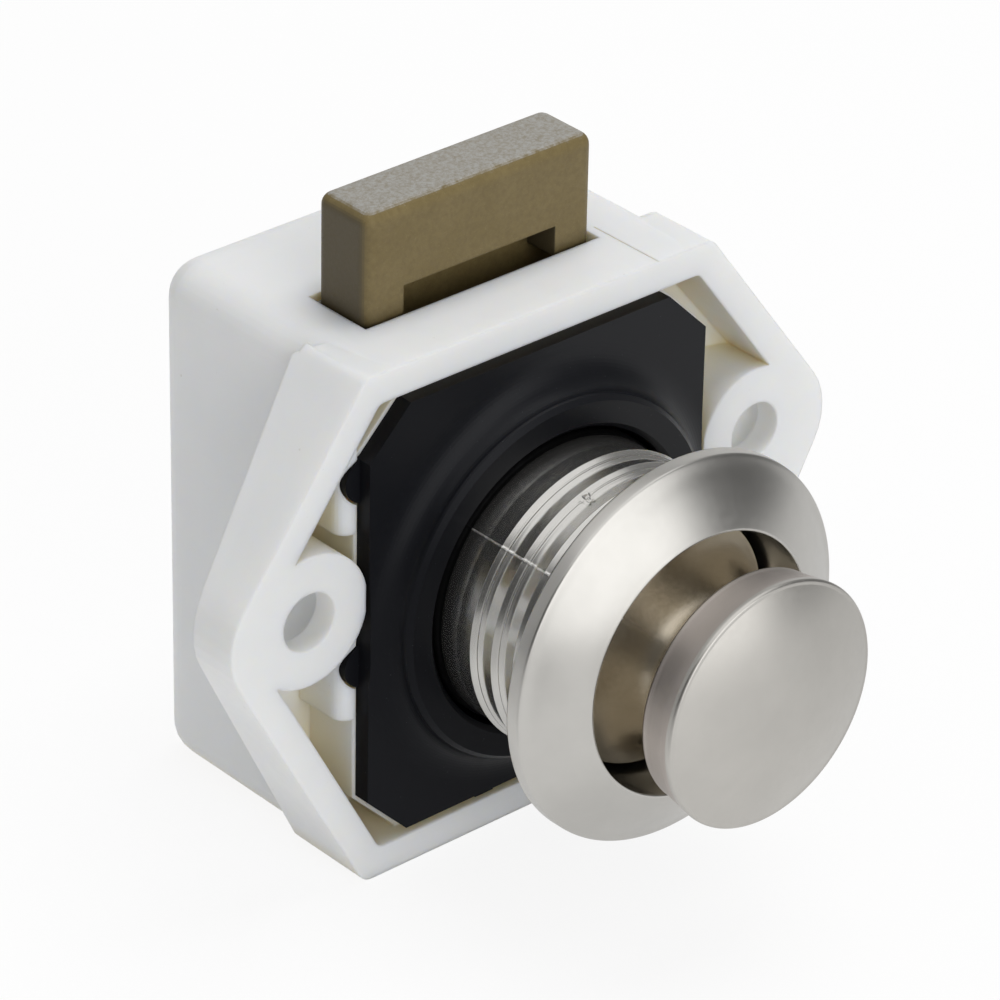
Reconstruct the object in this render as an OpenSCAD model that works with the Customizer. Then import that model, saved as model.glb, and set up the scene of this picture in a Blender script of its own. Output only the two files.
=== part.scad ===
// Push button cabinet lock: a white case that is screwed to the inside of a door,
// a flat bolt that rises from its top, a round button with a ring in front.
// All sizes in millimetres. Left to right is X, front to back is Y, up is Z.
// The origin is on the button's axis, in the plane of the case's front rim.
// The parts stand as in the picture: button latched in, bolt out, ring pushed home.

/* [Case] */
// Room between the cover plate's collar and the side walls
side_room = 0.9; // [0.7:0.1:1.5]
// Thickness of the side walls
side_wall = 1.7; // [1.5:0.1:2.2]
// Height of the case's top above the button's axis
case_top = 18.35; // [18.2:0.05:20]
// Depth of the case's bottom under the button's axis
case_bottom = 17.8; // [17.5:0.1:20]
// Distance from the front rim to the rear of the case
case_depth = 20.4; // [20.2:0.1:24]
// How far the pointed ear corners stand out from the side walls, before they are rounded
ear_length = 11.4; // [11:0.1:13]
// Width of the front rim
rim_wall = 2.1; // [1.8:0.1:2.4]
// Distance of the screw holes from the side walls
screw_offset = 4.4; // [4.2:0.1:4.8]
// Diameter of the screw holes in the ears
screw_hole = 4; // [3.2:0.1:4.4]

/* [Cover plate] */
// Thickness of the black cover plate
plate_thickness = 1.2; // [1:0.1:1.5]
// Wall of the round boss that stands in the door's hole
boss_wall = 2.15; // [1.9:0.05:2.4]
// Wall of the collar behind the boss
collar_wall = 1.25; // [1:0.05:1.4]
// How far the boss stands in front of the rim
boss_rise = 2.2; // [1.6:0.1:2.6]

/* [Ring with sleeve] */
// Outer diameter of the ring
ring_diameter = 26; // [25:0.1:30]
// Wall of the sleeve, measured over its ridges
sleeve_wall = 1.2; // [1:0.05:1.3]
// Diameter over the ridges of the sleeve
ridge_diameter = 20; // [19.8:0.1:20.2]
// Distance from one ridge to the next
ridge_pitch = 1.95; // [1.8:0.05:2.1]
// Distance from the front rim to the ring's back, ring pushed home
ring_back = 11.8; // [11.6:0.1:13]

/* [Button] */
// Gap between the button's cap and the ring
cap_gap = 0.53; // [0.4:0.01:0.9]
// Distance from the front rim to the edge of the cap's face, button in
cap_face = 21.2; // [21:0.1:22.5]
// How far the button comes out when it is released
button_travel = 7.5; // [6.5:0.1:7.5]

/* [Bolt] */
// Width of the bolt
bolt_width = 18.4; // [17.8:0.1:18.5]
// Thickness of the bolt
bolt_thickness = 4.84; // [4.6:0.02:4.9]
// How far the bolt stands above the case
bolt_out = 7.3; // [6.8:0.1:7.6]

/* [Hidden] */
$fn = 64;
arc_steps = 6;

// Sleeve and what fits round it
ridge_r = ridge_diameter / 2;
root_r = ridge_r - 0.32;
guide_r = ridge_r - 0.1;
bore_r = ridge_r - sleeve_wall;
collar_bore = ridge_r + 0.25;
collar_r = collar_bore + collar_wall;
boss_r = collar_bore + boss_wall;

// Case
inner_x = collar_r + side_room;
case_half_width = inner_x + side_wall;
box_half_width = case_half_width + 0.3;
box_round = 2.6;
ear_reach = case_half_width + ear_length;
ear_round = 4.8;
ear_z = 3.1;
ear_tip_y = 3.4;
ear_root_y = 6.5;
rear_wall = 1.6;
pocket_wall = 1.1;
parting_depth = 0.05;
parting_end = 6;
hole_x = case_half_width + screw_offset;
hole_z = 3.05;
rail_wall = 1.3;
rooted = 0.2;
spring_pin = 2.4;
spring_pin_r = 1.6;
hole_r = screw_hole / 2;
head_room = 1.6;
tab_r = 4.55;
tab_high = 77;
tab_low = -55;
tab_wall = 1.8;
plate_gap = 0.25;
inner_top = case_top - 3.85;
inner_bottom = case_bottom - 3.6;
inner_rear = case_depth - rear_wall;
hollow_round = 2.8;
flange_draft = 0.5;
flange_soft = 1.2;

// Cover plate
plate_x = case_half_width - 0.3;
plate_top = case_top - 2.85;
plate_bottom = case_bottom - 2.6;
chamfer = 3.2;
cove_width = 2.6;
cove_height = boss_rise - 0.45;
cove_steps = 16;
lug_r = 1.6;
lug_x = plate_x - 0.5;
lug_z = [10.75, -2.4];
lug_front = 0.95;
lug_rear = plate_thickness + 0.5;
post_x = case_half_width + 1.1;
post_round = 1;
post_y = 0.95;
post_spans = [[7.2, case_top], [-6.1, ear_z]];
nib_x = -4.6;
nib_width = 1.5;
nib_drop = 0.35;
fit_gap = 0.12;
collar_end = 7.4;

// Ring
ring_r = ring_diameter / 2;
ring_rise = 3.3;
ring_edge = 1.1;
ring_front = ring_back + ring_rise;
sleeve_end = 7;
guide_front = boss_rise - 0.6;
ridge_count = 3;
ridge_first = 4.95;
ridge_ramp = 1.5;

// Button
cap_r = bore_r - cap_gap;
cap_dome = 1.6;
cap_steps = 8;
skirt_r = bore_r - 0.4;
neck_length = 9.8;
skirt_front = cap_face - neck_length;
skirt_end = 3;
skirt_wall = 1.2;
overtravel = 0.8;
tail_front = 5;
tail_rear = inner_rear - 0.95;
tail_x = 5.5;
tail_gap = 0.45;
tail_top = sqrt(pow(bore_r - tail_gap, 2) - pow(tail_x, 2));
tail_bottom = tail_top - 0.45;
tail_round = 0.6;
plug_r = skirt_r - skirt_wall - 0.08;
neck_r = 4.5;
screw_r = 1.1;
screw_bore = screw_r + 0.05;
screw_reach = 6.5;
screw_boss_r = 3.2;
screw_head_r = 1.75;
screw_head = 1.4;
cross_length = 2.4;
cross_width = 0.5;
cross_depth = 0.8;
washer_wall = 0.5;
spring_seat = 8;
spring_bore = 3;
washer_y = spring_seat - washer_wall;

// Bolt
bolt_left = -9.9;
bolt_right = bolt_left + bolt_width;
parting_x = bolt_right + 0.95;
bolt_front = 5.06;
bolt_rear = bolt_front + bolt_thickness;
bolt_top = case_top + bolt_out;
bolt_thin = collar_end + 0.26;
bolt_head = case_top - 0.35;
bolt_round = 0.85;
slot_gap = 0.3;
notch_left = -6.94;
notch_right = 5.37;
notch_from_top = 5.52;
notch_top = bolt_top - notch_from_top;
bridge_bottom = tail_top + button_travel + 0.45;
pin_r = 1;
pin_y = (bolt_thin + bolt_rear) / 2;
pin_z = 4;
track_half = pin_r + 0.15;
pin_end = 4.1;
track_floor = pin_end - 0.3;
leg_x = tail_x + 0.3;
leg_end = 6;

// Catch
wire_r = 0.4;
bearing_gap = 0.06;
bearing_half = 2;
bearing_floor = 1;
catch_y = 15.4;
catch_tip_y = 7.6;
catch_z = -tail_bottom - 0.8;
lane_depth = 1.1;
catch_top = -tail_bottom + lane_depth - 0.3;
lane_x = 2.2;
lane_wall = 1.3;
lane_half = 0.62;

function unit(v) = v / norm(v);
function left_of(p, q) = unit([p[1] - q[1], q[0] - p[0]]);

// The outline of an anticlockwise polygon moved inwards
function inset(p, d) = [
    for (i = [0 : len(p) - 1])
        let (
            last = p[(i + len(p) - 1) % len(p)],
            next = p[(i + 1) % len(p)],
            a = left_of(last, p[i]),
            b = left_of(p[i], next)
        )
        p[i] + d * (a + b) / (1 + a * b)
];

// The points of one corner rounded by an arc
function corner(last, at, next, r) =
    let (
        u = unit(last - at),
        v = unit(next - at),
        half = acos(u * v) / 2,
        start = at + u * r / tan(half),
        mid = at + unit(u + v) * r / sin(half),
        a = atan2(start[1] - mid[1], start[0] - mid[0]),
        turn = (180 - 2 * half) * (cross(u, v) > 0 ? -1 : 1)
    )
    [for (k = [0 : arc_steps]) mid + r * [cos(a + turn * k / arc_steps), sin(a + turn * k / arc_steps)]];

function rounded(p, r) = [
    for (i = [0 : len(p) - 1])
        let (
            last = p[(i + len(p) - 1) % len(p)],
            next = p[(i + 1) % len(p)]
        )
        each corner(last, p[i], next, r[i])
];

function box_points(x0, z0, x1, z1) = [[x0, z0], [x1, z0], [x1, z1], [x0, z1]];

// The flange seen from the front, anticlockwise from the lower left
flange = [
    [-case_half_width, -case_bottom],
    [case_half_width, -case_bottom],
    [ear_reach, ear_z],
    [case_half_width, case_top],
    [-case_half_width, case_top],
    [-ear_reach, ear_z]
];
flange_round = [1.2, 1.2, ear_round, 1.1, 1.1, ear_round];
rim_inside = rounded(inset(flange, rim_wall), [0.8, 0.8, 1.4, 0.8, 0.8, 1.4]);

// The cover plate seen from the front, with cut corners
plate_outline = [
    [-plate_x + chamfer, -plate_bottom],
    [plate_x - chamfer, -plate_bottom],
    [plate_x, -plate_bottom + chamfer],
    [plate_x, plate_top - chamfer],
    [plate_x - chamfer, plate_top],
    [-plate_x + chamfer, plate_top],
    [-plate_x, plate_top - chamfer],
    [-plate_x, -plate_bottom + chamfer]
];

// Extrudes a shape drawn in X and Z from one depth to another
module along_y(from, to) {
    translate([0, to, 0])
        rotate([90, 0, 0])
            linear_extrude(to - from)
                children();
}

// Extrudes a shape drawn in Y and Z from one side to another
module along_x(from, to) {
    translate([from, 0, 0])
        rotate([90, 0, 90])
            linear_extrude(to - from)
                children();
}

// Extrudes a shape drawn in X and Y from one height to another
module along_z(from, to) {
    translate([0, 0, from])
        linear_extrude(to - from)
            children();
}

// A solid of revolution about the button's axis, drawn as radius and depth
module around_y() {
    rotate([-90, 0, 0])
        rotate_extrude($fn = 96)
            children();
}

// A round bar or bore along the button's axis
module bar_y(x, z, r, from, to) {
    translate([x, from, z])
        rotate([-90, 0, 0])
            cylinder(h = to - from, r = r);
}

module both_sides() {
    children();
    mirror([1, 0, 0]) children();
}

// A bar along Y with a round rear end
module round_bar_y(x, z, r, from, to) {
    translate([x, from, z])
        rotate([-90, 0, 0])
            rotate_extrude($fn = 32)
                polygon(concat(
                    [[0, 0], [r, 0]],
                    [for (k = [0 : 8]) [r * cos(90 * k / 8), to - from - r + r * sin(90 * k / 8)]]
                ));
}

module case_box() {
    hull()
        for (x = [-box_half_width + box_round, box_half_width - box_round])
            for (z = [-case_bottom + box_round, case_top - box_round])
                round_bar_y(x, z, box_round, 0, case_depth);
}

module flange_slab() {
    intersection() {
        along_y(0, ear_root_y)
            polygon(rounded(flange, flange_round));
        along_z(-case_bottom, case_top)
            polygon([
                [-ear_reach, 0],
                [ear_reach, 0],
                [ear_reach, ear_tip_y],
                [case_half_width, ear_root_y],
                [-case_half_width, ear_root_y],
                [-ear_reach, ear_tip_y]
            ]);
        along_x(-ear_reach, ear_reach)
            polygon([
                [0, -case_bottom],
                [ear_root_y, -case_bottom + flange_draft],
                [ear_root_y, case_top - flange_draft - 0.4],
                [ear_root_y - flange_soft, case_top - 0.2],
                [0, case_top]
            ]);
    }
}

// The round screw eye in an ear, solid out to the ear's tip
module ear_tab() {
    difference() {
        intersection() {
            along_y(0, ear_root_y)
                polygon(rounded(flange, flange_round));
            union() {
                bar_y(hole_x, hole_z, tab_r, 0, ear_root_y);
                along_y(0, ear_root_y)
                    polygon([
                        [hole_x, hole_z],
                        [hole_x + tab_r * cos(tab_low), hole_z + tab_r * sin(tab_low)],
                        [ear_reach, hole_z + tab_r * sin(tab_low)],
                        [ear_reach, hole_z + tab_r * sin(tab_high)],
                        [hole_x + tab_r * cos(tab_high), hole_z + tab_r * sin(tab_high)]
                    ]);
            }
            along_z(-case_bottom, case_top)
                polygon([
                    [plate_x + plate_gap, 0],
                    [ear_reach, 0],
                    [ear_reach, ear_tip_y],
                    [case_half_width, ear_root_y],
                    [plate_x + plate_gap, ear_root_y]
                ]);
        }
        screw_bore_in_ear();
    }
}

// The screw's hole, with a wide counterbore from behind for its head
module screw_bore_in_ear() {
    bar_y(hole_x, hole_z, hole_r, -1, case_depth);
    bar_y(hole_x, hole_z, hole_r + head_room, tab_wall, case_depth);
}

// The two upright posts that the cover plate's lugs sit in
module posts() {
    intersection() {
        along_y(0, ear_root_y)
            polygon(rounded(flange, flange_round));
        union() {
            for (span = post_spans)
                along_z(span[0], span[1])
                    polygon(rounded(
                        box_points(plate_x + fit_gap, post_y, post_x, ear_root_y - 0.6),
                        [0.2, post_round, 0.1, 0.1]
                    ));
        }
    }
}

module housing() {
    color([0.9, 0.9, 0.89])
    difference() {
        union() {
            difference() {
                union() {
                    case_box();
                    flange_slab();
                }
                // the recess of the cover plate
                intersection() {
                    along_y(-1, plate_thickness)
                        polygon(rim_inside);
                    translate([-plate_x - 2 * plate_gap, -1, -case_bottom])
                        cube([2 * plate_x + 4 * plate_gap, plate_thickness + 1, case_bottom + case_top]);
                }
                // the pockets in the ears and round the cover plate's cut corners
                intersection() {
                    along_y(-1, ear_root_y)
                        difference() {
                            polygon(rim_inside);
                            polygon(inset(plate_outline, -plate_gap));
                        }
                    both_sides()
                        along_z(-case_bottom, case_top)
                            polygon([
                                [plate_x - chamfer, -1],
                                [ear_reach, -1],
                                [ear_reach, ear_tip_y - pocket_wall],
                                [plate_x, ear_root_y - pocket_wall],
                                [plate_x - chamfer, ear_root_y - pocket_wall]
                            ]);
                }
            }
            both_sides() ear_tab();
            mirror([1, 0, 0]) posts();
        }
        // the hollow for the works
        along_y(plate_thickness - 0.01, inner_rear)
            polygon(rounded(
                box_points(-inner_x, -inner_bottom, inner_x, inner_top),
                [hollow_round, hollow_round, hollow_round, hollow_round]
            ));
        // the slot of the bolt
        translate([bolt_left - slot_gap, bolt_front - slot_gap, 0])
            cube([bolt_width + 2 * slot_gap, bolt_thickness + 2 * slot_gap, case_top + 1]);
        // the seats of the cover plate's lugs
        for (z = lug_z)
            bar_y(-lug_x, z, lug_r + fit_gap, -1, lug_rear + fit_gap);
        // the seat of the nib at the plate's lower edge
        translate([nib_x - fit_gap, -1, -plate_bottom - nib_drop - fit_gap])
            cube([nib_width + 2 * fit_gap, plate_thickness + 1, 1]);
        both_sides() screw_bore_in_ear();
        // the fine parting line beside the bolt
        translate([parting_x, -1, case_top - parting_depth])
            cube([2 * parting_depth, parting_end + 1, 1]);
    }
    // guide rails beside the button's tail, behind the bolt
    color([0.9, 0.9, 0.89])
    both_sides()
        translate([leg_x, bolt_rear + slot_gap, -inner_bottom - rooted])
            cube([rail_wall, inner_rear - bolt_rear - slot_gap + rooted, inner_bottom + tail_top + rooted]);
    // the pin that centres the spring
    color([0.9, 0.9, 0.89])
    bar_y(0, 0, spring_pin_r, inner_rear - spring_pin, inner_rear + rooted);
    // the bearing of the catch wire
    color([0.9, 0.9, 0.89])
    difference() {
        translate([-bearing_half, catch_y - bearing_half, -inner_bottom - rooted])
            cube([
                2 * bearing_half,
                inner_rear - catch_y + bearing_half + rooted,
                inner_bottom + catch_z - wire_r - bearing_gap + rooted
            ]);
        translate([0, catch_y, -inner_bottom + bearing_floor])
            cylinder(h = inner_bottom, r = wire_r + bearing_gap, $fn = 24);
    }
}

module cover_plate() {
    color([0.06, 0.06, 0.065])
    difference() {
        union() {
            along_y(0, plate_thickness)
                polygon(plate_outline);
            // lugs at the left side
            for (z = lug_z)
                bar_y(-lug_x, z, lug_r, lug_front, lug_rear);
            // nib at the lower edge
            translate([nib_x, 0.3, -plate_bottom - nib_drop])
                cube([nib_width, plate_thickness - 0.3, 1]);
            // boss with a hollow foot, and the collar behind it
            intersection() {
                around_y()
                    polygon(concat(
                        [
                            [collar_bore, collar_end],
                            [collar_bore, -boss_rise + 0.35],
                            [collar_bore + 0.35, -boss_rise],
                            [boss_r - 0.3, -boss_rise],
                            [boss_r, -boss_rise + 0.3]
                        ],
                        [
                            for (k = [0 : cove_steps])
                                let (a = 180 - 90 * k / cove_steps)
                                [boss_r + 0.05 + cove_width * (1 + cos(a)), -cove_height * (1 - sin(a))]
                        ],
                        [
                            [boss_r, plate_thickness],
                            [collar_r, plate_thickness],
                            [collar_r, collar_end]
                        ]
                    ));
                along_y(-boss_rise - 1, collar_end + 1)
                    polygon(plate_outline);
            }
        }
        bar_y(0, 0, collar_bore, -boss_rise - 1, collar_end + 1);
    }
}

// One ridge of the sleeve with the ramp in front of it, drawn as radius and depth
function ridge(y) = [
    [root_r, y],
    [ridge_r - 0.08, y - 0.08],
    [ridge_r, y - 0.18],
    [ridge_r, y - 0.52],
    [ridge_r - 0.1, y - 0.7],
    [ridge_r - 0.2, y - 1],
    [root_r, y - ridge_ramp]
];

module rosette() {
    color([0.78, 0.77, 0.74])
    around_y()
        polygon(concat(
            [
                [bore_r, sleeve_end],
                [guide_r - 0.5, sleeve_end],
                [guide_r, sleeve_end - 0.5],
                [guide_r, -guide_front],
                [root_r, -guide_front - 0.3]
            ],
            [
                for (k = [0 : ridge_count - 1])
                    each ridge(-ridge_first - k * ridge_pitch)
            ],
            [
                [root_r, -ring_back + 0.25],
                [root_r + 0.25, -ring_back],
                [ring_r - 0.55 * ring_edge, -ring_back],
                [ring_r - 0.18 * ring_edge, -ring_back - 0.18 * ring_edge],
                [ring_r, -ring_back - 0.55 * ring_edge],
                [ring_r, -ring_back - 0.82 * ring_edge],
                [ring_r - 0.1, -ring_back - ring_edge]
            ],
            [
                for (k = [1 : 7])
                    let (s = k / 8)
                    [
                        ring_r - 0.1 - s * (ring_r - bore_r - 0.35),
                        -ring_back - ring_edge - (ring_rise - ring_edge) * (s + 0.28 * s * (1 - s))
                    ]
            ],
            [
                [bore_r + 0.25, -ring_front],
                [bore_r + 0.08, -ring_front + 0.06],
                [bore_r, -ring_front + 0.25]
            ]
        ));
}

module knob() {
    color([0.74, 0.72, 0.69])
    around_y()
        polygon(concat(
            [[0, -cap_face - cap_dome]],
            [
                for (k = [1 : cap_steps])
                    let (s = 0.965 * k / cap_steps)
                    [cap_r * s, -cap_face - cap_dome * (1 - s * s)]
            ],
            [
                [cap_r - 0.08, -cap_face + 0.1],
                [cap_r, -cap_face + 0.3],
                [cap_r - 0.42, -cap_face + 2.8],
                [cap_r - 0.5, -cap_face + 3],
                [cap_r - 0.72, -cap_face + 3.1],
                [5.5, -cap_face + 3.35],
                [4.95, -cap_face + 3.7],
                [4.8, -cap_face + 4.4],
                [4.9, -cap_face + 5.2],
                [5.12, -cap_face + 6],
                [5.5, -skirt_front - 2.7],
                [6, -skirt_front - 1.7],
                [6.6, -skirt_front - 1],
                [7.3, -skirt_front - 0.45],
                [skirt_r - 0.1, -skirt_front - 0.12],
                [skirt_r, -skirt_front],
                [skirt_r, -skirt_end - 0.2],
                [skirt_r - 0.2, -skirt_end],
                [skirt_r - skirt_wall, -skirt_end],
                [skirt_r - skirt_wall, -skirt_front + 2.2],
                [skirt_r - skirt_wall - 1, -skirt_front + 1.2],
                [screw_boss_r, -skirt_front + 1.2],
                [screw_boss_r, -tail_front],
                [screw_bore, -tail_front],
                [screw_bore, -tail_front - screw_reach - 1],
                [0, -tail_front - screw_reach - 1.5]
            ]
        ));
}

// The plastic tail behind the button, with its tracks for the bolt and the catch
module plunger() {
    color([0.86, 0.85, 0.82])
    difference() {
        union() {
            bar_y(0, 0, plug_r, -tail_front, -skirt_end);
            bar_y(0, 0, neck_r, -skirt_end, tail_front);
            along_y(tail_front, tail_rear)
                polygon(rounded(
                    box_points(-tail_x, -tail_bottom, tail_x, tail_top),
                    [tail_round, tail_round, tail_round, tail_round]
                ));
        }
        // slanted tracks that carry the bolt's pins
        both_sides()
            along_x(track_floor, tail_x + 1)
                polygon([
                    for (k = [0 : 12])
                        let (a = 45 + 15 * k)
                        [
                            pin_y - overtravel + track_half * cos(a),
                            pin_z + overtravel + track_half * sin(a)
                        ],
                    [
                        pin_y + button_travel + 4 - track_half * sin(45),
                        pin_z - button_travel - 4 - track_half * sin(45)
                    ],
                    [
                        pin_y + button_travel + 4 + track_half * sin(45),
                        pin_z - button_travel - 4 + track_half * sin(45)
                    ]
                ]);
        // the bore of the spring and of the screw
        bar_y(0, 0, spring_bore, washer_y, tail_rear + 1);
        bar_y(0, 0, screw_bore, -tail_front - 1, washer_y + 1);
        // the heart shaped lane of the catch wire, a slanted way and a resting notch
        along_z(-tail_bottom - 1, -tail_bottom + lane_depth)
            polygon([
                [-0.9, catch_tip_y - overtravel - 0.55],
                [0.6, catch_tip_y - overtravel - 0.55],
                [lane_x + lane_half, catch_tip_y + button_travel - 1.2],
                [lane_x + lane_half, tail_rear + 1],
                [lane_wall, tail_rear + 1],
                [lane_wall, catch_tip_y + button_travel - 0.8],
                [-0.9, catch_tip_y + 1.3]
            ]);
        // the way round the other side of the island
        along_z(-tail_bottom - 1, -tail_bottom + lane_depth)
            polygon([
                [-0.9, catch_tip_y - overtravel - 0.55],
                [0, catch_tip_y - overtravel + 0.6],
                [-1.3, catch_tip_y + 2.4],
                [-1.3, catch_tip_y + 3.6],
                [1.6, catch_tip_y + button_travel - 0.4],
                [1.6, tail_rear + 1],
                [0.4, tail_rear + 1],
                [-2.6, catch_tip_y + 4.2],
                [-2.6, catch_tip_y + 1.6]
            ]);
    }
}

module plunger_screw() {
    color([0.7, 0.7, 0.7])
    difference() {
        union() {
            bar_y(0, 0, screw_r, -tail_front - screw_reach, spring_seat + 0.5);
            bar_y(0, 0, screw_head_r, spring_seat, spring_seat + screw_head);
        }
        // the cross in the screw's head
        translate([-cross_length / 2, spring_seat + screw_head - cross_depth, -cross_width / 2])
            cube([cross_length, 1, cross_width]);
        translate([-cross_width / 2, spring_seat + screw_head - cross_depth, -cross_length / 2])
            cube([cross_width, 1, cross_length]);
    }
}

module screw_washer() {
    color([0.7, 0.7, 0.7])
    difference() {
        bar_y(0, 0, spring_bore - 0.1, washer_y, spring_seat);
        bar_y(0, 0, screw_bore, washer_y - 1, spring_seat + 1);
    }
}

// The spring is one bent tube: rings of points along a coil that lies flat at both ends
spring_r = 2.35;
spring_wire = 0.28;
spring_turns = 8;
spring_sides = 6;
spring_rings = 8 * spring_turns;
spring_flat = 0.12;
spring_flat_rise = 0.028;
spring_from = spring_seat + spring_wire + 0.01;
spring_to = inner_rear - spring_wire - 0.01;
function coil_half(s) =
    s < spring_flat
        ? spring_flat_rise * s / spring_flat
        : spring_flat_rise + (0.5 - spring_flat_rise) * (s - spring_flat) / (0.5 - spring_flat);
function coil_rise(s) = s < 0.5 ? coil_half(s) : 1 - coil_half(1 - s);
function coil_y(s) = spring_from + (spring_to - spring_from) * coil_rise(s);
function coil_point(k, j) =
    let (
        s = k / spring_rings,
        a = 360 * spring_turns * s,
        b = 360 * j / spring_sides,
        r = spring_r + spring_wire * cos(b)
    )
    [r * cos(a), coil_y(s) + spring_wire * sin(b), r * sin(a)];

module button_spring() {
    color([0.72, 0.72, 0.72])
    polyhedron(
        points = [
            for (k = [0 : spring_rings])
                for (j = [0 : spring_sides - 1])
                    coil_point(k, j)
        ],
        faces = concat(
            [[for (j = [0 : spring_sides - 1]) j]],
            [
                for (k = [0 : spring_rings - 1])
                    for (j = [0 : spring_sides - 1])
                        [
                            k * spring_sides + j,
                            (k + 1) * spring_sides + j,
                            (k + 1) * spring_sides + (j + 1) % spring_sides,
                            k * spring_sides + (j + 1) % spring_sides
                        ]
            ],
            [[for (j = [spring_sides - 1 : -1 : 0]) spring_rings * spring_sides + j]]
        )
    );
}

module bolt() {
    color([0.42, 0.37, 0.27])
    difference() {
        union() {
            // the head that stands out of the case
            hull()
                for (x = [bolt_left + bolt_round, bolt_right - bolt_round])
                    for (y = [bolt_front + bolt_round, bolt_rear - bolt_round])
                        translate([0, 0, bolt_head])
                            rotate([90, 0, 0])
                                round_bar_y(x, -y, bolt_round, 0, bolt_top - bolt_head);
            // the thin bridge and the two legs of the fork
            translate([bolt_left, bolt_thin, bridge_bottom])
                cube([bolt_width, bolt_rear - bolt_thin, bolt_head - bridge_bottom]);
            translate([notch_left - 0.5, bolt_thin, bolt_head - 1])
                cube([notch_right - notch_left + 1, bolt_rear - bolt_thin, notch_top - bolt_head + 1.5]);
            translate([bolt_left, bolt_thin, -leg_end])
                cube([-leg_x - bolt_left, bolt_rear - bolt_thin, bridge_bottom + leg_end + 0.5]);
            translate([leg_x, bolt_thin, -leg_end])
                cube([bolt_right - leg_x, bolt_rear - bolt_thin, bridge_bottom + leg_end + 0.5]);
            // the pins that run in the tail's slanted tracks
            both_sides()
                translate([pin_end, pin_y, pin_z])
                    rotate([0, 90, 0])
                        cylinder(h = leg_x - pin_end + 0.5, r = pin_r);
        }
        // the notch in front that clears the collar
        translate([notch_left, bolt_front - 1, bolt_head - 1])
            cube([notch_right - notch_left, bolt_thin - bolt_front + 1, notch_top - bolt_head + 1]);
    }
}

module catch_wire() {
    color([0.72, 0.72, 0.72])
    union() {
        // the leg that turns in the bearing
        translate([0, catch_y, -inner_bottom + bearing_floor + fit_gap])
            cylinder(h = catch_z + inner_bottom - bearing_floor - fit_gap, r = wire_r, $fn = 24);
        translate([0, catch_y, catch_z])
            sphere(r = wire_r, $fn = 24);
        // the arm under the tail
        bar_y(0, catch_z, wire_r, catch_tip_y, catch_y);
        translate([0, catch_tip_y, catch_z])
            sphere(r = wire_r, $fn = 24);
        // the tip that follows the lane
        translate([0, catch_tip_y, catch_z])
            cylinder(h = catch_top - catch_z, r = wire_r, $fn = 24);
    }
}

// Which piece is drawn, all of them by default

housing();
cover_plate();
rosette();
knob();
plunger();
plunger_screw();
screw_washer();
button_spring();
bolt();
catch_wire();
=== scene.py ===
import math
import bpy
import bmesh
from mathutils import Matrix, Vector, noise

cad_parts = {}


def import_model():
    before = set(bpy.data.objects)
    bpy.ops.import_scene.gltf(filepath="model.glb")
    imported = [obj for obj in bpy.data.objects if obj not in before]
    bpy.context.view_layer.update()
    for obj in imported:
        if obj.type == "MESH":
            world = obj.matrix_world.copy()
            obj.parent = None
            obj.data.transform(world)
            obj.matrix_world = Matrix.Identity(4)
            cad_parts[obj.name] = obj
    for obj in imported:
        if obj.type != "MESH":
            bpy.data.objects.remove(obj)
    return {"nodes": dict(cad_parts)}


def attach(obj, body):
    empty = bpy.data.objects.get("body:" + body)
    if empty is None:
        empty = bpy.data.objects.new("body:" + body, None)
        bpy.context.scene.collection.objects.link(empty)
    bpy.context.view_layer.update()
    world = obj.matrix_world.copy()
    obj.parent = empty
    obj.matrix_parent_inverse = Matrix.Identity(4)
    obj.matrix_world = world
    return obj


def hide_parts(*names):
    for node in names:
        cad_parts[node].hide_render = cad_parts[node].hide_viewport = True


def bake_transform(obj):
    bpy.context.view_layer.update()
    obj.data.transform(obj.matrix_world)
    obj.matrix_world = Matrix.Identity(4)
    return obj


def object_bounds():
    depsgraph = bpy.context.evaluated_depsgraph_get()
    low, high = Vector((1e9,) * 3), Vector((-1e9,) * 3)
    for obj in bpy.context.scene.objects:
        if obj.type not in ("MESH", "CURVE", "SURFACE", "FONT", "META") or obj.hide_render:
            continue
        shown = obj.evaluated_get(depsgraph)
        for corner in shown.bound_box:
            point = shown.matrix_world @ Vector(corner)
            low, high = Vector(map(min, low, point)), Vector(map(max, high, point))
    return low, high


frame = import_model()
CAD_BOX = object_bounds()

MM = 0.001
BLACK, WHITE = (0, 0, 0), (1, 1, 1)

# Helpers


class Graph:
    """A node tree and the few node calls that the looks and the studio share."""

    def __init__(self, tree):
        self.nodes = tree.nodes
        self.links = tree.links

    def add(self, kind, **values):
        node = self.nodes.new(kind)
        for key, value in values.items():
            setattr(node, key, value)
        return node

    def put(self, value, socket):
        """Gives a socket a number, a vector, a colour or another node's output."""
        if isinstance(value, tuple) and socket.type == "RGBA":
            value = (*value, 1)
        if isinstance(value, (int, float, tuple)):
            socket.default_value = value
        else:
            self.links.new(value, socket)

    def maths(self, what, *values):
        m = self.add("ShaderNodeMath", operation=what)
        for value, socket in zip(values, m.inputs):
            self.put(value, socket)
        return m.outputs[0]

    def spread(self, value, low, high, start=0.0, end=1.0, **values):
        """Takes start and end to low and high, and holds them beyond."""
        m = self.add("ShaderNodeMapRange", **values)
        m.inputs["From Min"].default_value = start
        m.inputs["From Max"].default_value = end
        m.inputs["To Min"].default_value = low
        m.inputs["To Max"].default_value = high
        self.put(value, m.inputs["Value"])
        return m.outputs["Result"]

    def mix_shaders(self, fac, a, b):
        m = self.add("ShaderNodeMixShader")
        for value, socket in zip((fac, a, b), m.inputs):
            self.put(value, socket)
        return m.outputs[0]


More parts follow.
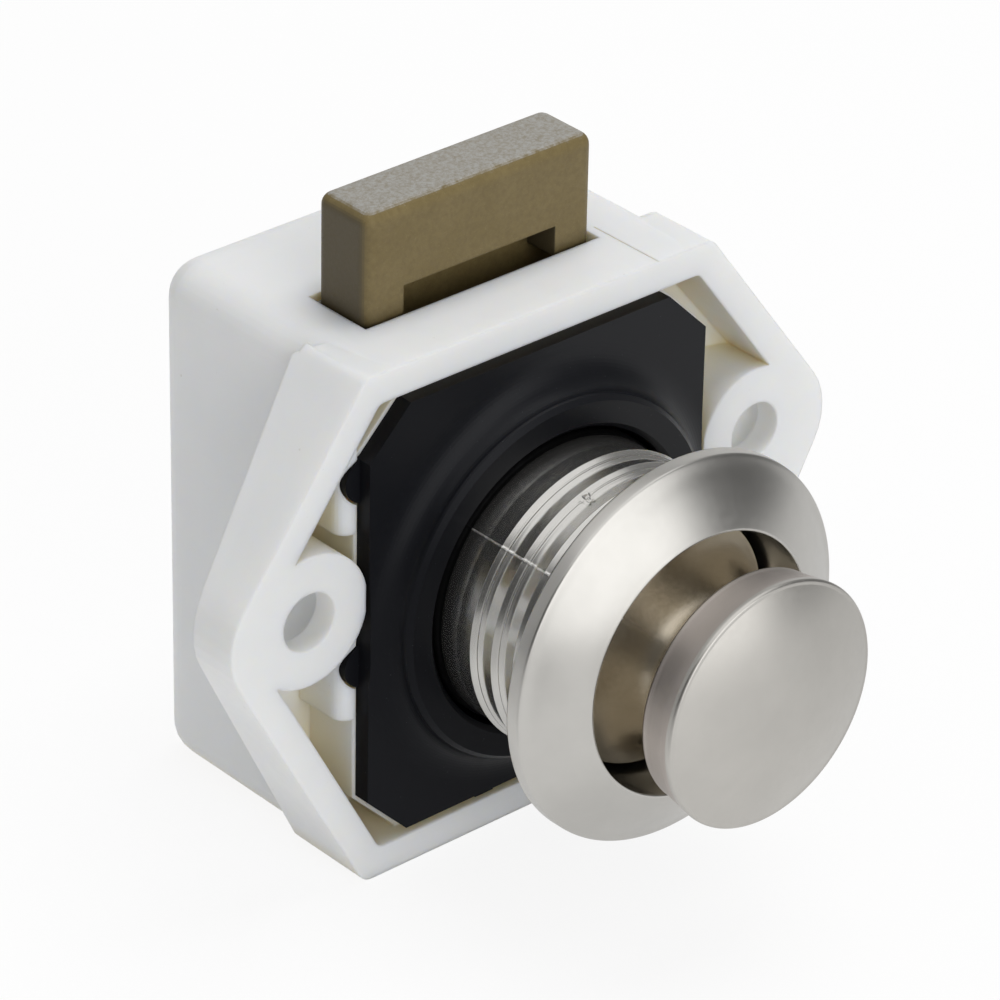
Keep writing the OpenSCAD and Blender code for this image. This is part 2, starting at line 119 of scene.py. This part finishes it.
class Look(Graph):
    """A material whose patterns are measured in millimetres on the object."""

    def __init__(self, name):
        self.mat = bpy.data.materials.new(name)
        self.mat.use_nodes = True
        super().__init__(self.mat.node_tree)
        self.shader = self.nodes["Principled BSDF"]
        self.coord = self.add("ShaderNodeTexCoord").outputs["Object"]

    def scaled(self, x=1, y=1, z=1):
        """Object coordinates in millimetres, stretched."""
        m = self.add("ShaderNodeMapping")
        m.inputs["Scale"].default_value = (x / MM, y / MM, z / MM)
        self.put(self.coord, m.inputs["Vector"])
        return m.outputs["Vector"]

    def parts(self, vector=None):
        """The x, y and z of a vector, or of the object coordinates in millimetres."""
        s = self.add("ShaderNodeSeparateXYZ")
        self.put(vector or self.scaled(), s.inputs[0])
        return s.outputs[0], s.outputs[1], s.outputs[2]

    def noise(self, scale, detail=3.0, rough=0.5, vector=None):
        """Noise whose scale is counted per millimetre."""
        n = self.add("ShaderNodeTexNoise")
        n.inputs["Scale"].default_value = scale
        n.inputs["Detail"].default_value = detail
        n.inputs["Roughness"].default_value = rough
        self.put(vector or self.scaled(), n.inputs["Vector"])
        return n.outputs["Fac"]

    def occlusion(self, reach_mm):
        """How open a point is: 1 in the open, towards 0 in a deep corner."""
        node = self.add("ShaderNodeAmbientOcclusion", samples=8)
        node.inputs["Distance"].default_value = reach_mm * MM
        return node.outputs["AO"]

    def ramp(self, fac, *stops):
        r = self.add("ShaderNodeValToRGB")
        for item, (place, colour) in zip(r.color_ramp.elements, stops):
            item.position = place
            item.color = (*colour, 1)
        self.put(fac, r.inputs["Fac"])
        return r.outputs["Color"]

    def spots(self, scale, start, end):
        """A mask of small spots, the peaks of a noise between start and end."""
        return self.ramp(self.noise(scale, 2, 0.5), (start, BLACK), (end, WHITE))

    def blend(self, fac, a, b):
        m = self.add("ShaderNodeMix", data_type="RGBA")
        for value, place in ((fac, 0), (a, 6), (b, 7)):
            self.put(value, m.inputs[place])
        return m.outputs[2]

    def toned(self, fac, base, share):
        """A colour that goes down to a share of itself."""
        return self.blend(fac, base, tuple(c * share for c in base))

    def bump(self, height, strength, depth_mm, edge_mm=0.0):
        """Bump from a height field, over edges that are softened in the shading."""
        b = self.add("ShaderNodeBump")
        b.inputs["Strength"].default_value = strength
        b.inputs["Distance"].default_value = depth_mm * MM
        self.put(height, b.inputs["Height"])
        if edge_mm:
            soft = self.add("ShaderNodeBevel", samples=8)
            soft.inputs["Radius"].default_value = edge_mm * MM
            self.put(soft.outputs[0], b.inputs["Normal"])
        self.put(b.outputs[0], self.shader.inputs["Normal"])

    def set(self, **values):
        """Values or outputs for the shader's sockets, whose spaces are written as _."""
        for key, value in values.items():
            self.put(value, self.shader.inputs[key.replace("_", " ")])


def add_object(name, data):
    obj = bpy.data.objects.new(name, data)
    bpy.context.scene.collection.objects.link(obj)
    return obj


def wear(node, look):
    """Gives a CAD node its finished material."""
    obj = frame["nodes"][node]
    obj.data.materials.clear()
    obj.data.materials.append(look.mat)
    return obj


def moved(points, depth):
    """(radius, depth) points, pushed along the axis."""
    return [(r, depth + y) for r, y in points]


def arc(cx, cy, r, a0, a1, steps):
    """Points of an arc, angles in degrees, in the radius and depth plane."""
    out = []
    for k in range(steps + 1):
        a = math.radians(a0 + (a1 - a0) * k / steps)
        out.append((cx + r * math.cos(a), cy + r * math.sin(a)))
    return out


def catmull_rom(t, a, b, c, d):
    """The curve's value between b and c."""
    linear, square, cube = c - a, 2 * a - 5 * b + 4 * c - d, 3 * b - a - 3 * c + d
    return 0.5 * (2 * b + linear * t + square * t * t + cube * t ** 3)


def smooth(points, per):
    """A Catmull-Rom curve through the points, with so many steps from each to the next."""
    padded = [points[0], *points, points[-1]]
    out = []
    for i in range(len(points) - 1):
        for k in range(per):
            out.append(tuple(catmull_rom(k / per, *row) for row in zip(*padded[i:i + 4])))
    out.append(points[-1])
    return out


def turns(segments, fine=()):
    """Angles round a turned piece, in radians. They are closer together in the
    fine spans, each given as its middle, half width and step in degrees."""
    angles = {round(360 * k / segments, 4) for k in range(segments)}
    for middle, half, step in fine:
        angles = {a for a in angles if abs(a - middle % 360) > half}
        count = round(2 * half / step)
        angles |= {round((middle - half + step * k) % 360, 4) for k in range(count + 1)}
    return [math.radians(a) for a in sorted(angles)]


SHARP_ANGLE = 38
ON_AXIS = 1e-6


def lathe(name, profile, angles, looks, look_of, ripple=None):
    """A turned piece about the button's axis from (radius, depth) points in millimetres.
    look_of says which look a band between two points has, and ripple how far a point
    at a radius, depth and angle is moved outwards."""
    me = bpy.data.meshes.new(name)
    bm = bmesh.new()
    rings = []
    for r, y in profile:
        if r < ON_AXIS:
            rings.append([bm.verts.new((0, y * MM, 0))])
            continue
        ring = []
        for a in angles:
            rr = r + (ripple(r, y, a) if ripple else 0.0)
            ring.append(bm.verts.new((rr * math.cos(a) * MM, y * MM, rr * math.sin(a) * MM)))
        rings.append(ring)
    for i, (a, b) in enumerate(zip(rings, rings[1:] + rings[:1])):
        # a profile that starts and ends on the axis has no closing band
        if i == len(rings) - 1 and (len(a) == 1 or len(b) == 1):
            continue
        for k in range(len(angles)):
            n = (k + 1) % len(angles)
            face = [a[k % len(a)], a[n % len(a)], b[n % len(b)], b[k % len(b)]]
            face = [v for j, v in enumerate(face) if v not in face[:j]]
            if len(face) > 2:
                f = bm.faces.new(face)
                f.material_index = look_of(profile[i], profile[(i + 1) % len(profile)])
    bmesh.ops.recalc_face_normals(bm, faces=bm.faces)
    bm.to_mesh(me)
    bm.free()
    me.shade_smooth()
    me.set_sharp_from_angle(angle=math.radians(SHARP_ANGLE))
    for look in looks:
        me.materials.append(look.mat)
    return add_object(name, me)


# Looks


def white_plastic():
    k = Look("white_plastic")
    # painted shade: yellower and darker in deep corners, by occlusion
    painted_corner_shade = k.spread(k.occlusion(4.0), 1.0, 0.0, 0.12, 0.58)
    clean = k.ramp(
        k.noise(0.18, 2, 0.5), (0.35, (0.80, 0.812, 0.82)), (0.7, (0.825, 0.833, 0.838))
    )
    # the small dark spots of a moulded piece
    clean = k.blend(k.spots(2.6, 0.76, 0.80), clean, (0.70, 0.70, 0.68))
    k.set(
        Base_Color=k.blend(painted_corner_shade, clean, (0.80, 0.735, 0.55)),
        Roughness=k.spread(k.noise(1.4, 3), 0.34, 0.48, 0.3, 0.7),
        Subsurface_Weight=0.55,
        Subsurface_Radius=(1.0, 0.85, 0.6),
        Subsurface_Scale=2.2 * MM,
        IOR=1.49,
        Specular_IOR_Level=0.42,
    )
    k.bump(k.noise(6.0, 4, 0.6), 0.05, 0.03, 0.28)
    return k


def black_plastic():
    k = Look("black_plastic")
    scuffs = k.noise(1.0, 5, 0.65, k.scaled(2.2, 1, 0.35))
    dust = k.spots(7.0, 0.735, 0.77)
    # painted shade: the plate reflects less, and looks duller, towards the low left corner
    x, _, z = k.parts()
    k.set(
        Base_Color=k.blend(dust, (0.0078, 0.0083, 0.0104), (0.045, 0.047, 0.052)),
        Roughness=k.spread(scuffs, 0.28, 0.34, 0.35, 0.7),
        IOR=1.5,
        Specular_IOR_Level=k.spread(k.maths("ADD", x, z), 0.05, 0.18, -14, 14),
    )
    k.bump(k.noise(5.0, 4, 0.6), 0.10, 0.02)
    return k


def olive_plastic():
    k = Look("olive_plastic")
    body = k.ramp(
        k.noise(0.35, 3, 0.6), (0.3, (0.158, 0.118, 0.045)), (0.7, (0.180, 0.136, 0.056))
    )
    flecks = k.maths("MULTIPLY", k.spots(11.0, 0.60, 0.76), 0.6)
    body = k.blend(flecks, body, (0.24, 0.19, 0.095))
    mottle = k.spread(k.noise(2.4, 5, 0.75), 0.0, 0.6, 0.42, 0.66)
    body = k.blend(mottle, body, (0.125, 0.092, 0.036))
    # painted shade: the narrow sides are darker
    across, _, up = k.parts(k.add("ShaderNodeNewGeometry").outputs["Normal"])
    painted_side_shade = k.spread(k.maths("ABSOLUTE", across), 0.0, 1.0, 0.75, 0.98)
    body = k.blend(painted_side_shade, body, (0.093, 0.074, 0.040))
    # the up-facing end face is lighter grey inside its rounded edges: partly a painted sheen of
    # the top, partly scuffs
    ragged = k.spread(k.noise(1.6, 5, 0.75), -0.10, 0.10, 0.3, 0.7)
    top_sheen_and_scuffs = k.spread(k.maths("ADD", up, ragged), 0.0, 1.0, 0.80, 0.97)
    patches = k.spread(k.noise(3.5, 6, 0.8), 0.40, 1.0, 0.35, 0.60)
    body = k.blend(k.maths("MULTIPLY", top_sheen_and_scuffs, patches), body, (0.36, 0.355, 0.335))
    # painted shade: the notch is dark inside, by occlusion
    painted_notch_shade = k.spread(k.occlusion(2.5), 0.9, 0.0, 0.20, 0.75)
    grain = k.noise(5.5, 6, 0.75)
    k.set(
        Base_Color=k.blend(painted_notch_shade, body, (0.018, 0.014, 0.008)),
        Roughness=k.spread(grain, 0.42, 0.60, 0.3, 0.7),
        Specular_IOR_Level=0.4,
    )
    k.bump(grain, 0.38, 0.05, 0.22)
    return k


def satin_metal(name, base, rough, grain):
    k = Look(name)
    cloud = k.spread(k.noise(0.25, 3, 0.55), 0, 1, 0.35, 0.65)
    k.set(
        Base_Color=k.toned(cloud, base, 0.95),
        Metallic=1.0,
        Roughness=k.spread(k.noise(2.2, 4, 0.6), *rough, 0.3, 0.7),
    )
    k.bump(k.noise(16.0, 3, 0.7), grain, 0.02)
    return k


def brushed_metal(name, base):
    """Satin metal with scratches that run round the button's axis."""
    k = Look(name)
    x, y, z = k.parts()
    lines = k.add("ShaderNodeCombineXYZ")
    k.put(k.maths("MULTIPLY", k.maths("ARCTAN2", z, x), 1.2), lines.inputs[0])
    k.put(k.maths("MULTIPLY", y, 9.0), lines.inputs[1])
    streak = k.noise(1.0, 4, 0.7, lines.outputs[0])
    k.set(
        Base_Color=k.toned(k.noise(0.6, 3), base, 0.88),
        Metallic=1.0,
        Roughness=k.spread(streak, 0.28, 0.42, 0.3, 0.7),
    )
    k.bump(streak, 0.35, 0.03)
    return k


def bright_metal(name, base, rough, wave=0.04, metallic=0.97, seam=None):
    """Plated metal, with the seam of its mould halves at an angle in degrees."""
    k = Look(name)
    colour = k.toned(k.noise(0.5, 3), base, 0.9)
    rough = k.spread(k.noise(3.0, 5, 0.7), *rough, 0.35, 0.7)
    if seam is not None:
        # the raised line in the plane of the mould halves is frosted and broken
        x, _, z = k.parts()
        turn = math.radians(seam)
        off = k.maths(
            "SUBTRACT",
            k.maths("MULTIPLY", x, math.sin(turn)),
            k.maths("MULTIPLY", z, math.cos(turn)),
        )
        line = k.spread(k.maths("ABSOLUTE", off), 1.0, 0.0, 0.035, 0.075)
        line = k.maths("MULTIPLY", line, k.spread(k.noise(5.0, 3, 0.6), 0.15, 1.0, 0.38, 0.55))
        colour = k.blend(line, colour, (0.92, 0.91, 0.89))
        rough = k.maths("ADD", rough, k.maths("MULTIPLY", line, 0.35))
    k.set(Base_Color=colour, Metallic=metallic, Roughness=rough)
    k.bump(k.noise(2.2, 4, 0.65), wave, 0.03)
    return k


def plain_metal(name, base, rough):
    k = Look(name)
    k.set(
        Base_Color=k.toned(k.noise(1.5, 4), base, 0.85),
        Metallic=1.0,
        Roughness=k.spread(k.noise(3.0, 4), rough - 0.06, rough + 0.06, 0.3, 0.7),
    )
    k.bump(k.noise(8.0, 3), 0.1, 0.02)
    return k


def natural_plastic():
    k = Look("natural_plastic")
    k.set(
        Base_Color=k.blend(k.noise(0.4, 3), (0.70, 0.67, 0.60), (0.76, 0.74, 0.68)),
        Roughness=k.spread(k.noise(2.0, 4), 0.38, 0.5, 0.3, 0.7),
        Subsurface_Weight=0.2,
        Subsurface_Radius=(1.0, 0.8, 0.5),
        Subsurface_Scale=1.0 * MM,
    )
    k.bump(k.noise(5.0, 3), 0.08, 0.03, 0.2)
    return k


# Metal pieces

# depths and radii in millimetres; a depth is less the nearer it is to the front
BORE_R = 8.8
RING_BACK, RING_DEPTH, RING_R = -11.8, 3.3, 13.0
SLEEVE = [
    (BORE_R, 7.0), (9.4, 7.0), (9.9, 6.5), (9.9, 6.0), (9.9, -1.5), (9.9, -1.6),
    (9.76, -1.8), (9.745, -1.9), (9.74, -2.08), (9.735, -2.2), (9.72, -2.5), (9.704, -2.8),
    (9.686, -3.1), (9.67, -3.35), (9.656, -3.46), (9.653, -3.54), (9.658, -3.7),
    (9.66, -4.2), (9.665, -4.7),
]
# each ridge has a sharp crest, a sloping land with a fine line across it, then a hollow
RIDGES, FIRST_RIDGE, RIDGE_PITCH = 3, -4.95, 1.95
CREST = [(9.68, 0.04), (9.70, 0.01), (9.86, -0.01)]
LAND = [
    (9.96, -0.03), (10.0, -0.08), (9.988, -0.15), (9.945, -0.25), (9.895, -0.35),
    (9.855, -0.43), (9.80, -0.49), (9.79, -0.54), (9.815, -0.59), (9.805, -0.66),
    (9.75, -0.74), (9.69, -0.84), (9.665, -0.95), (9.66, -1.10), (9.667, -1.45), (9.68, -1.82),
]
RING_NECK = [
    (9.68, 0.9), (9.68, 0.5), (9.69, 0.3), (9.78, 0.1), (9.90, 0.02), (10.0, 0), (10.2, 0),
    (12.6, 0),
]
RING_RIM = [(RING_R, -0.24), (RING_R, -0.5), (12.996, -0.8)]
RING_FACE = [
    (12.80, -1.155), (12.3, -1.42), (11.5, -1.95), (10.6, -2.49), (9.8, -2.91), (9.15, -3.215),
]


def ring_profile():
    back, front = RING_BACK, RING_BACK - RING_DEPTH
    ridges = []
    for i in range(RIDGES):
        start = FIRST_RIDGE - RIDGE_PITCH * i
        ridges += moved(CREST, start) + smooth(moved(LAND, start), 3)
    return (
        SLEEVE
        + ridges
        + moved(RING_NECK, back)
        + arc(12.82, back - 0.18, 0.18, 90, 0, 6)
        + moved(RING_RIM, back)
        + arc(12.79, back - 0.93, 0.2, 0, -58, 6)
        + smooth(moved(RING_FACE, back), 6)
        + arc(8.94, front + 0.14, 0.14, -60, -180, 6)
        + [(BORE_R, front + 0.25), (BORE_R, front + 0.6), (BORE_R, -6.0), (BORE_R, 6.9)]
    )


CAP_FACE, CAP_DOME, DOME_R = -21.2, 1.6, 7.98
DOME_STEPS = [k / 16 for k in range(1, 16)] + [0.965, 0.985, 0.995, 1]
CAP_SIDE = [(8.25, 0.45), (8.1, 1.2), (7.9, 2.4), (7.88, 2.6)]
NECK = [
    (7.3, 3.1), (6.2, 3.2), (5.4, 3.4), (4.95, 3.8), (4.8, 4.5), (4.88, 5.3), (5.12, 6.1),
    (5.5, 7.1), (6.0, 8.0), (6.6, 8.75), (7.3, 9.3), (8.0, 9.62), (8.3, 9.72),
]
SKIRT_LIP = [(8.38, 9.80), (8.4, 9.85), (8.4, 10.0)]
SKIRT = [
    (8.4, -3.2), (8.2, -3.0), (7.2, -3.0), (7.2, -9.2), (6.2, -10.2), (3.2, -10.2),
    (3.2, -5.0), (1.2, -5.0), (1.2, -12.5), (0, -13),
]


def knob_profile():
    return (
        [(0, CAP_FACE - CAP_DOME)]
        + [(DOME_R * s, CAP_FACE - CAP_DOME * (1 - s * s)) for s in DOME_STEPS]
        + arc(8.03, CAP_FACE + 0.22, 0.24, -64, 0, 7)
        + moved(CAP_SIDE, CAP_FACE)
        + arc(7.58, CAP_FACE + 2.72, 0.30, 0, 80, 5)
        + smooth(moved(NECK, CAP_FACE), 5)
        + moved(SKIRT_LIP, CAP_FACE)
        + SKIRT
    )


# the sleeve's outside, where the casting is uneven: its ends and its least radius
UNEVEN_FRONT, UNEVEN_REAR, UNEVEN_R = -11.6, 6, 9.3
BROAD_WAVE, FINE_WAVE = 0.006, 0.003
# the seams of the mould halves: angles in degrees, width and reach in radians
SEAMS = (139, 319)
SEAM_WIDTH, SEAM_REACH = 0.0065, 0.05
SEAM_HEIGHT, SEAM_UNEVEN = 0.045, 0.070
# a nick across one ridge: angle in degrees, the rest in millimetres
NICK, NICK_DEPTH, SLEEVE_R = 107, -7.45, 10
NICK_LENGTH, NICK_WIDTH = 0.42, 0.36
NICK_HEIGHT, NICK_UNEVEN = -0.11, 0.16


def sleeve_ripple(r, y, a):
    """Small unevenness of the plated casting on the sleeve."""
    if y < UNEVEN_FRONT or y > UNEVEN_REAR or r < UNEVEN_R:
        return 0.0
    p = Vector((math.cos(a) * 2.2, y * 0.7, math.sin(a) * 2.2))
    wave = BROAD_WAVE * noise.noise(p) + FINE_WAVE * noise.noise(p * 7)
    for seam in SEAMS:
        d = abs((a - math.radians(seam) + math.pi) % (2 * math.pi) - math.pi)
        if d < SEAM_REACH:
            height = SEAM_HEIGHT + SEAM_UNEVEN * noise.noise(Vector((y * 9.0, seam, 0)))
            wave += height * math.exp(-(d / SEAM_WIDTH) ** 2)
    u, v = (a - math.radians(NICK)) * SLEEVE_R, y - NICK_DEPTH
    d = math.hypot((u + 0.4 * v) / NICK_LENGTH, (v - 0.2 * u) / NICK_WIDTH)
    if d < 3:
        height = NICK_HEIGHT + NICK_UNEVEN * noise.noise(Vector((u * 4.5, v * 4.5, 1.7)))
        wave += math.exp(-(d ** 2)) * height
    return wave


# depths at which the looks of the two pieces change
SHADE_BAND_REAR, SHADE_BAND_FRONT = -1.4, -2.1
NECK_FRONT, SIDE_FRONT = -18.25, -20.95


def ring_look(p, q):
    """Satin flange 0, bright sleeve and bore 1, painted shade band 2."""
    if min(p[1], q[1]) < RING_BACK + 0.05 and max(p[0], q[0]) > BORE_R + 0.2:
        return 0
    # painted shade: the rear end of the sleeve's plain part is dark, where it lies in the shadow
    # of the boss's gap
    return 2 if SHADE_BAND_FRONT < q[1] < SHADE_BAND_REAR else 1


def button_look(p, q):
    """Satin face 0, bright neck and skirt 1, brushed side 2."""
    front = min(p[1], q[1])
    return 1 if front > NECK_FRONT else 2 if front > SIDE_FRONT else 0


RING_TURNS, BUTTON_TURNS = 300, 288

ring = lathe(
    "ring_with_sleeve",
    ring_profile(),
    turns(RING_TURNS, [(s, 2.0, 0.125) for s in SEAMS] + [(NICK, 6.0, 0.25)]),
    (
        satin_metal("satin_nickel_face", (0.575, 0.563, 0.535), (0.28, 0.32), 0.182),
        bright_metal("bright_nickel_sleeve", (0.58, 0.57, 0.545), (0.20, 0.265), seam=SEAMS[0]),
        # painted shade: a dark band of the sleeve in the boss's gap
        bright_metal("painted_gap_shade", (0.05, 0.05, 0.052), (0.4, 0.5)),
    ),
    ring_look,
    sleeve_ripple,
)
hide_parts("rosette")
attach(ring, "ring")

button = lathe(
    "push_button",
    knob_profile(),
    turns(BUTTON_TURNS),
    (
        satin_metal("satin_nickel_cap", (0.555, 0.538, 0.505), (0.32, 0.38), 0.084),
        bright_metal("bright_nickel_neck", (0.64, 0.57, 0.455), (0.20, 0.26), 0.035, 1.0),
        brushed_metal("brushed_nickel_side", (0.54, 0.49, 0.455)),
    ),
    button_look,
)
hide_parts("knob")
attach(button, "button")

wear("housing", white_plastic())
wear("cover_plate", black_plastic())
wear("bolt", olive_plastic())
wear("plunger", natural_plastic())
wear("plunger_screw", plain_metal("zinc_steel", (0.60, 0.60, 0.60), 0.3))
wear("screw_washer", plain_metal("zinc_washer", (0.60, 0.60, 0.60), 0.32))
wear("catch_wire", plain_metal("catch_steel", (0.55, 0.55, 0.54), 0.25))

# the spring's coil, a copy of the CAD spring's mesh, between the button and the case
spring = wear("button_spring", plain_metal("spring_steel", (0.55, 0.55, 0.54), 0.25))
coil = add_object("coil_spring", spring.data.copy())
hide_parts("button_spring")
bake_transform(coil)


# Stage, light and camera

FLOOR_Z, FLOOR_HALF = CAD_BOX[0].z, 3.0
FLOOR_GLOW, GLOW_LOST_IN_GLOSS = 0.88, 0.25


def floor():
    me = bpy.data.meshes.new("floor")
    signs = ((-1, -1), (1, -1), (1, 1), (-1, 1))
    corners = [(x * FLOOR_HALF, y * FLOOR_HALF, FLOOR_Z) for x, y in signs]
    me.from_pydata(corners, [], [(0, 1, 2, 3)])
    o = add_object("floor", me)
    k = Look("floor")
    k.set(Base_Color=(0.96, 0.96, 0.96), Roughness=0.9)
    # seen straight or in gloss, the floor is near white and keeps a soft shadow
    ray = k.add("ShaderNodeLightPath").outputs
    glossy = ray["Is Glossy Ray"]
    seen = k.maths("MAXIMUM", ray["Is Camera Ray"], ray["Is Transmission Ray"])
    seen = k.maths("MAXIMUM", seen, glossy)
    # painted shade: gloss sees it greyer at the right and at the left
    x, y, _ = k.parts()
    painted_floor_shade = k.maths("ADD", k.spread(x, 0.0, 0.24, -12, 36), k.spread(x, 0.45, 0.0, -46, -26))
    glow = k.add("ShaderNodeEmission")
    k.put(WHITE, glow.inputs["Color"])
    k.put(k.maths("SUBTRACT", 1.0, k.maths("MULTIPLY", painted_floor_shade, glossy)), glow.inputs["Strength"])
    shown = k.maths("SUBTRACT", FLOOR_GLOW, k.maths("MULTIPLY", glossy, GLOW_LOST_IN_GLOSS))
    surface = k.mix_shaders(k.maths("MULTIPLY", seen, shown), k.shader.outputs[0], glow.outputs[0])
    # gloss also sees where the table ends
    squares = k.maths("ADD", k.maths("MULTIPLY", x, x), k.maths("MULTIPLY", y, y))
    far = k.spread(k.maths("SQRT", squares), 0, 1, 160, 420)
    clear = k.add("ShaderNodeBsdfTransparent").outputs[0]
    surface = k.mix_shaders(k.maths("MULTIPLY", far, glossy), surface, clear)
    k.put(surface, k.nodes["Material Output"].inputs["Surface"])
    me.materials.append(k.mat)


DIFFUSE_LEVEL, GLOSS_LEVEL = 0.44, 0.32
ROOM_GREY = (0.8, 0.8, 0.8)
# what gloss sees in the grey room: direction, cosines where it starts and is full, amount
LOBES = (
    ((0.00, -0.974, 0.225), 0.766, 0.891, 1.90),  # bright front
    ((0.65, 0.72, 0.22), 0.84, 0.97, 0.60),  # bright low back right
    ((-0.05, 0.00, 1.00), 0.64, 0.85, 1.15),  # bright ceiling
    ((-0.93, -0.05, 0.42), 0.84, 0.95, -0.20),  # darker left
    ((-0.62, 0.60, 0.50), 0.84, 0.95, 0.25),  # lighter back left
    ((0.80, -0.60, 0.16), 0.90, 0.97, -0.16),  # darker front right
)


def world():
    """Even white for the camera and for what it sees through, and a studio for gloss."""
    w = bpy.data.worlds.new("studio")
    bpy.context.scene.world = w
    w.use_nodes = True
    w.node_tree.nodes.clear()
    g = Graph(w.node_tree)

    def background(colour, strength):
        node = g.add("ShaderNodeBackground")
        g.put(colour, node.inputs["Color"])
        g.put(strength, node.inputs["Strength"])
        return node.outputs[0]

    ray = g.add("ShaderNodeLightPath").outputs
    direction = g.add("ShaderNodeTexCoord").outputs["Generated"]
    tone = GLOSS_LEVEL
    for aim, wide, narrow, amount in LOBES:
        dot = g.add("ShaderNodeVectorMath", operation="DOT_PRODUCT")
        g.put(direction, dot.inputs[0])
        g.put(tuple(Vector(aim).normalized()), dot.inputs[1])
        spot = g.spread(
            dot.outputs["Value"], 0, amount, wide, narrow, interpolation_type="SMOOTHSTEP"
        )
        tone = g.maths("ADD", tone, spot)
    lit = g.mix_shaders(
        ray["Is Glossy Ray"], background(WHITE, DIFFUSE_LEVEL), background(ROOM_GREY, tone)
    )
    seen = g.maths("MAXIMUM", ray["Is Camera Ray"], ray["Is Transmission Ray"])
    out = g.add("ShaderNodeOutputWorld")
    g.put(g.mix_shaders(seen, lit, background(WHITE, 1.0)), out.inputs["Surface"])


def softbox(name, place, aim, width, height, power):
    data = bpy.data.lights.new(name, "AREA")
    data.shape = "RECTANGLE"
    data.size, data.size_y = width, height
    data.energy = power
    o = add_object(name, data)
    o.location = place
    o.rotation_mode = "QUATERNION"
    o.rotation_quaternion = (Vector(aim) - Vector(place)).to_track_quat("-Z", "Y")
    # gloss sees the studio of the world instead
    o.visible_glossy = False


# the photograph's view: angles in degrees, and the camera's place along its own axes
AZIMUTH, ELEVATION, ROLL = -41.78, 30.28, 1.19
SHIFT_RIGHT, SHIFT_UP, DISTANCE = -2.352, 4.116, 353.9
LENS, SENSOR = 203.4, 36


def camera():
    az, el, roll = (math.radians(v) for v in (AZIMUTH, ELEVATION, ROLL))
    back = Vector((math.sin(az) * math.cos(el), -math.cos(az) * math.cos(el), math.sin(el)))
    level = Vector((math.cos(az), math.sin(az), 0))
    upright = back.cross(level)
    right = math.cos(roll) * level + math.sin(roll) * upright
    up = -math.sin(roll) * level + math.cos(roll) * upright
    place = (SHIFT_RIGHT * right + SHIFT_UP * up + DISTANCE * back) * MM
    data = bpy.data.cameras.new("camera")
    data.sensor_width = SENSOR
    data.lens = LENS
    data.clip_start, data.clip_end = 0.01, 20
    o = add_object("camera", data)
    o.matrix_world = Matrix((
        (right.x, up.x, back.x, place.x),
        (right.y, up.y, back.y, place.y),
        (right.z, up.z, back.z, place.z),
        (0, 0, 0, 1),
    ))
    bpy.context.scene.camera = o


floor()
world()
softbox("front_left", (-0.14, -0.66, 0.20), (0, 0, 0), 0.56, 0.46, 1.75)
softbox("top", (0.16, 0.00, 0.62), (0, 0, 0), 0.36, 0.36, 2.0)
camera()

scene = bpy.context.scene
scene.view_settings.view_transform = "Standard"
